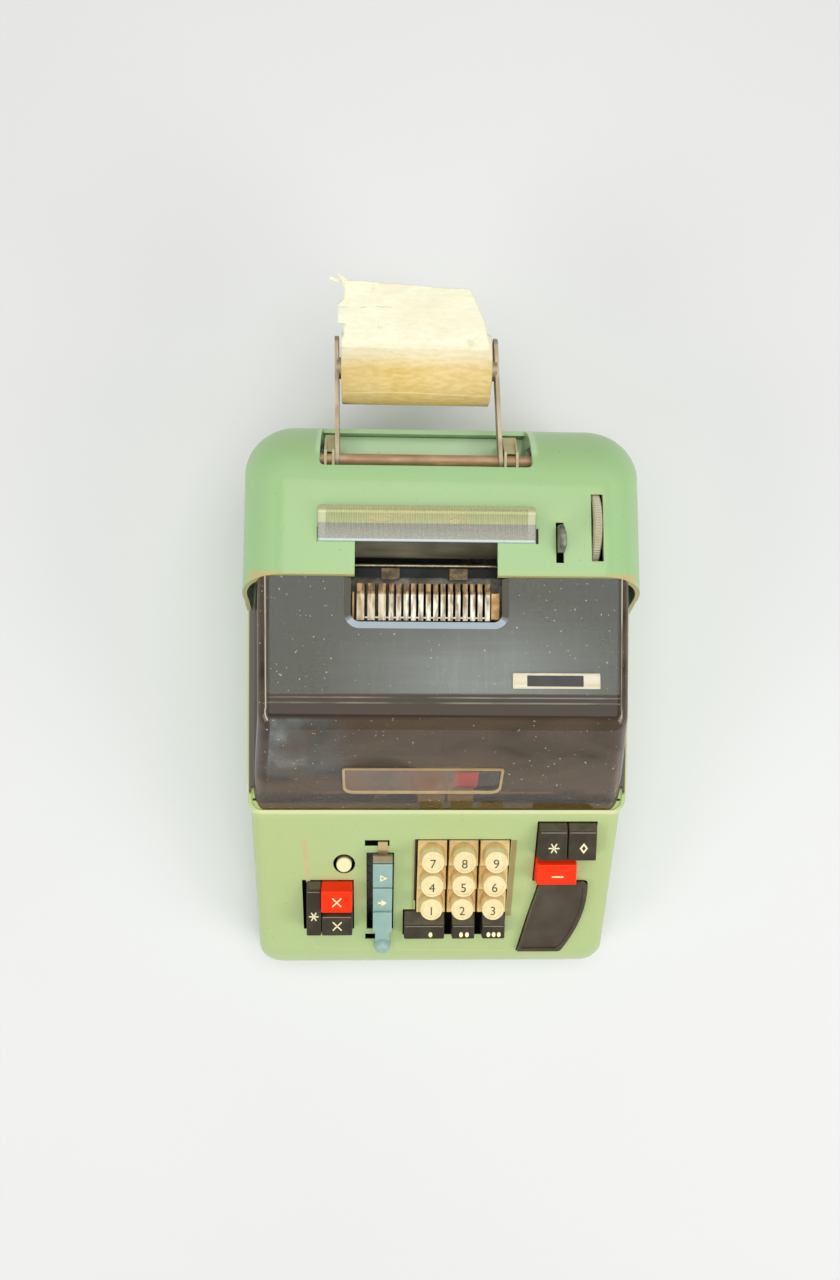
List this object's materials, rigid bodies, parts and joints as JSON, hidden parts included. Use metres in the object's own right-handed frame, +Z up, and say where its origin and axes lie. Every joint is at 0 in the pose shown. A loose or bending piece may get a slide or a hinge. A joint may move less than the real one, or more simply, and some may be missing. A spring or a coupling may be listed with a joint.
{
  "type": "printing calculator",
  "caption": "Electric ten-key printing calculator: sloped keyboard deck, smoked hood over type bars, green rear cover with platen and hinged paper-roll arms.",
  "frame": {"origin": "centre of the machine's footprint with the paper roll, on the surface that the feet stand on", "axes": "+X to the operator's right, +Y from the keys to the rear, +Z up"},
  "size_m": [0.2304, 0.4262, 0.1556],
  "materials": {
    "green_casing": "satin enamel",
    "smoked_acrylic": "polished dark translucent plastic",
    "clear_acrylic": "clear plastic, slightly yellowed",
    "plate_metal": "brushed bare plate",
    "sheet_steel": "zinc plated sheet",
    "frame_steel": "blued steel",
    "screw_steel": "machined",
    "foot_rubber": "moulded",
    "bronze": "tarnished",
    "ribbon_cloth": "inked",
    "chrome_wire": "polished",
    "cream_bracket": "satin",
    "motor_paint": "hammered",
    "black_plastic": "moulded",
    "black_key": "satin moulded key",
    "red_key": "moulded key",
    "blue_key": "moulded key",
    "ivory_key": "moulded key, aged cream",
    "white_button": "moulded",
    "platen_rubber": "ground",
    "shaft_steel": "ground",
    "wheel_plastic": "ribbed rim",
    "lever_plastic": "moulded",
    "rod_steel": "brown oxide",
    "arm_steel": "dull",
    "paper": "aged",
    "red_flag": "gloss",
    "type_steel": "worn plated",
    "gear_steel": "machined"
  },
  "bodies": {
    "casing": {"base_shell": "green_casing", "rear_cover": "green_casing", "smoked_hood": "smoked_acrylic", "magnifier_window": "clear_acrylic", "name_plate": "plate_metal", "tear_bar": "clear_acrylic", "base_plate": "sheet_steel", "case_screws": "screw_steel", "rubber_feet": "foot_rubber", "side_frame_left": "frame_steel", "side_frame_right": "frame_steel", "cross_rods": "shaft_steel", "keyboard_frame": "sheet_steel", "type_guide_comb": "frame_steel", "ribbon_plate": "frame_steel", "ribbon_guides": "bronze", "ink_ribbon": "ribbon_cloth", "paper_bail": "chrome_wire", "rod_brackets": "cream_bracket", "motor_housing": "motor_paint", "power_inlet": "black_plastic"},
    "digit_key_1": {"digit_key_1": "ivory_key"},
    "digit_key_2": {"digit_key_2": "ivory_key"},
    "digit_key_3": {"digit_key_3": "ivory_key"},
    "digit_key_4": {"digit_key_4": "ivory_key"},
    "digit_key_5": {"digit_key_5": "ivory_key"},
    "digit_key_6": {"digit_key_6": "ivory_key"},
    "digit_key_7": {"digit_key_7": "ivory_key"},
    "digit_key_8": {"digit_key_8": "ivory_key"},
    "digit_key_9": {"digit_key_9": "ivory_key"},
    "zero_key": {"zero_key": "black_key"},
    "double_zero_key": {"double_zero_key": "black_key"},
    "triple_zero_key": {"triple_zero_key": "black_key"},
    "clear_button": {"clear_button": "white_button"},
    "product_total_key": {"product_total_key": "black_key"},
    "negative_times_key": {"negative_times_key": "red_key"},
    "times_key": {"times_key": "black_key"},
    "total_key": {"total_key": "black_key"},
    "subtotal_key": {"subtotal_key": "black_key"},
    "minus_key": {"minus_key": "red_key"},
    "plus_bar": {"plus_bar": "black_key"},
    "shift_lever": {"shift_lever": "blue_key"},
    "triangle_key": {"triangle_key": "blue_key"},
    "arrow_key": {"arrow_key": "blue_key"},
    "platen_unit": {"platen": "platen_rubber", "platen_shaft": "shaft_steel", "platen_thumbwheel": "wheel_plastic"},
    "release_lever": {"paper_release_lever": "lever_plastic"},
    "paper_arms": {"arm_rod": "rod_steel", "roll_arms": "arm_steel", "paper_loose_end": "paper"},
    "paper_roll": {"paper_roll": "paper"},
    "carriage": {"pin_carriage": "gear_steel", "column_indicator": "red_flag"},
    "type_bars": {"type_bars": "type_steel"},
    "drive_shaft": {"drive_shaft": "gear_steel"},
    "motor_rotor": {"motor_rotor": "gear_steel"},
    "register": {"register_wheels": "type_steel"},
    "spool_left": {"ribbon_spool_left": "black_plastic"},
    "spool_right": {"ribbon_spool_right": "black_plastic"}
  },
  "joints": [
    {"name": "digit_key_1_press", "type": "slide", "parent": "casing", "child": "digit_key_1", "axis": [0, 0, -1], "range_m": [0, 0.005], "stiffness_N_per_m": 150, "springref_m": -0.004},
    {"name": "digit_key_2_press", "type": "slide", "parent": "casing", "child": "digit_key_2", "axis": [0, 0, -1], "range_m": [0, 0.005], "stiffness_N_per_m": 150, "springref_m": -0.004},
    {"name": "digit_key_3_press", "type": "slide", "parent": "casing", "child": "digit_key_3", "axis": [0, 0, -1], "range_m": [0, 0.005], "stiffness_N_per_m": 150, "springref_m": -0.004},
    {"name": "digit_key_4_press", "type": "slide", "parent": "casing", "child": "digit_key_4", "axis": [0, 0, -1], "range_m": [0, 0.005], "stiffness_N_per_m": 150, "springref_m": -0.004},
    {"name": "digit_key_5_press", "type": "slide", "parent": "casing", "child": "digit_key_5", "axis": [0, 0, -1], "range_m": [0, 0.005], "stiffness_N_per_m": 150, "springref_m": -0.004},
    {"name": "digit_key_6_press", "type": "slide", "parent": "casing", "child": "digit_key_6", "axis": [0, 0, -1], "range_m": [0, 0.005], "stiffness_N_per_m": 150, "springref_m": -0.004},
    {"name": "digit_key_7_press", "type": "slide", "parent": "casing", "child": "digit_key_7", "axis": [0, 0, -1], "range_m": [0, 0.005], "stiffness_N_per_m": 150, "springref_m": -0.004},
    {"name": "digit_key_8_press", "type": "slide", "parent": "casing", "child": "digit_key_8", "axis": [0, 0, -1], "range_m": [0, 0.005], "stiffness_N_per_m": 150, "springref_m": -0.004},
    {"name": "digit_key_9_press", "type": "slide", "parent": "casing", "child": "digit_key_9", "axis": [0, 0, -1], "range_m": [0, 0.005], "stiffness_N_per_m": 150, "springref_m": -0.004},
    {"name": "zero_key_press", "type": "slide", "parent": "casing", "child": "zero_key", "axis": [0, 0, -1], "range_m": [0, 0.005], "stiffness_N_per_m": 150, "springref_m": -0.004},
    {"name": "double_zero_key_press", "type": "slide", "parent": "casing", "child": "double_zero_key", "axis": [0, 0, -1], "range_m": [0, 0.005], "stiffness_N_per_m": 150, "springref_m": -0.004},
    {"name": "triple_zero_key_press", "type": "slide", "parent": "casing", "child": "triple_zero_key", "axis": [0, 0, -1], "range_m": [0, 0.005], "stiffness_N_per_m": 150, "springref_m": -0.004},
    {"name": "clear_button_press", "type": "slide", "parent": "casing", "child": "clear_button", "axis": [0, 0, -1], "range_m": [0, 0.004], "stiffness_N_per_m": 150, "springref_m": -0.004},
    {"name": "product_total_key_press", "type": "slide", "parent": "casing", "child": "product_total_key", "axis": [0, 0, -1], "range_m": [0, 0.005], "stiffness_N_per_m": 150, "springref_m": -0.004},
    {"name": "negative_times_key_press", "type": "slide", "parent": "casing", "child": "negative_times_key", "axis": [0, 0, -1], "range_m": [0, 0.005], "stiffness_N_per_m": 150, "springref_m": -0.004},
    {"name": "times_key_press", "type": "slide", "parent": "casing", "child": "times_key", "axis": [0, 0, -1], "range_m": [0, 0.005], "stiffness_N_per_m": 150, "springref_m": -0.004},
    {"name": "total_key_press", "type": "slide", "parent": "casing", "child": "total_key", "axis": [0, 0, -1], "range_m": [0, 0.005], "stiffness_N_per_m": 150, "springref_m": -0.004},
    {"name": "subtotal_key_press", "type": "slide", "parent": "casing", "child": "subtotal_key", "axis": [0, 0, -1], "range_m": [0, 0.005], "stiffness_N_per_m": 150, "springref_m": -0.004},
    {"name": "minus_key_press", "type": "slide", "parent": "casing", "child": "minus_key", "axis": [0, 0, -1], "range_m": [0, 0.005], "stiffness_N_per_m": 150, "springref_m": -0.004},
    {"name": "plus_bar_press", "type": "slide", "parent": "casing", "child": "plus_bar", "axis": [0, 0, -1], "range_m": [0, 0.005], "stiffness_N_per_m": 150, "springref_m": -0.004},
    {"name": "shift_lever_slide", "type": "slide", "parent": "casing", "child": "shift_lever", "axis": [-1, 0, 0], "range_m": [0, 0.0032]},
    {"name": "triangle_key_press", "type": "slide", "parent": "shift_lever", "child": "triangle_key", "axis": [0, 0, -1], "range_m": [0, 0.003], "stiffness_N_per_m": 150, "springref_m": -0.004},
    {"name": "arrow_key_press", "type": "slide", "parent": "shift_lever", "child": "arrow_key", "axis": [0, 0, -1], "range_m": [0, 0.003], "stiffness_N_per_m": 150, "springref_m": -0.004},
    {"name": "platen_turn", "type": "hinge", "parent": "casing", "child": "platen_unit", "pos_m": [0, 0.07426, 0.1205], "axis": [1, 0, 0], "continuous": true},
    {"name": "release_lever_tilt", "type": "hinge", "parent": "casing", "child": "release_lever", "pos_m": [0.0642, 0.05986, 0.112], "axis": [1, 0, 0], "range_deg": [0, 8]},
    {"name": "paper_arms_lift", "type": "hinge", "parent": "casing", "child": "paper_arms", "pos_m": [-0.0164, 0.11326, 0.124], "axis": [1, 0, 0], "range_deg": [0, 80]},
    {"name": "paper_roll_spin", "type": "hinge", "parent": "paper_arms", "child": "paper_roll", "pos_m": [-0.0164, 0.16476, 0.124], "axis": [1, 0, 0], "continuous": true},
    {"name": "carriage_step", "type": "slide", "parent": "casing", "child": "carriage", "axis": [-1, 0, 0], "range_m": [0, 0.054]},
    {"name": "type_bars_rise", "type": "slide", "parent": "casing", "child": "type_bars", "axis": [0, 0, 1], "range_m": [0, 0.008]},
    {"name": "drive_shaft_turn", "type": "hinge", "parent": "casing", "child": "drive_shaft", "pos_m": [0, 0.02006, 0.056], "axis": [1, 0, 0], "continuous": true},
    {"name": "motor_spin", "type": "hinge", "parent": "casing", "child": "motor_rotor", "pos_m": [0, 0.07454, 0.042], "axis": [1, 0, 0], "continuous": true},
    {"name": "register_turn", "type": "hinge", "parent": "casing", "child": "register", "pos_m": [0, -0.02614, 0.082], "axis": [1, 0, 0], "continuous": true},
    {"name": "spool_left_turn", "type": "hinge", "parent": "casing", "child": "spool_left", "pos_m": [-0.058, -0.00714, 0.115], "axis": [0, 0, 1], "continuous": true},
    {"name": "spool_right_turn", "type": "hinge", "parent": "casing", "child": "spool_right", "pos_m": [0.054, -0.00714, 0.115], "axis": [0, 0, 1], "continuous": true}
  ],
  "couplings": [
    {"joint": "motor_spin", "follows": "drive_shaft_turn", "ratio": -4},
    {"joint": "spool_right_turn", "follows": "spool_left_turn", "ratio": 1}
  ]
}
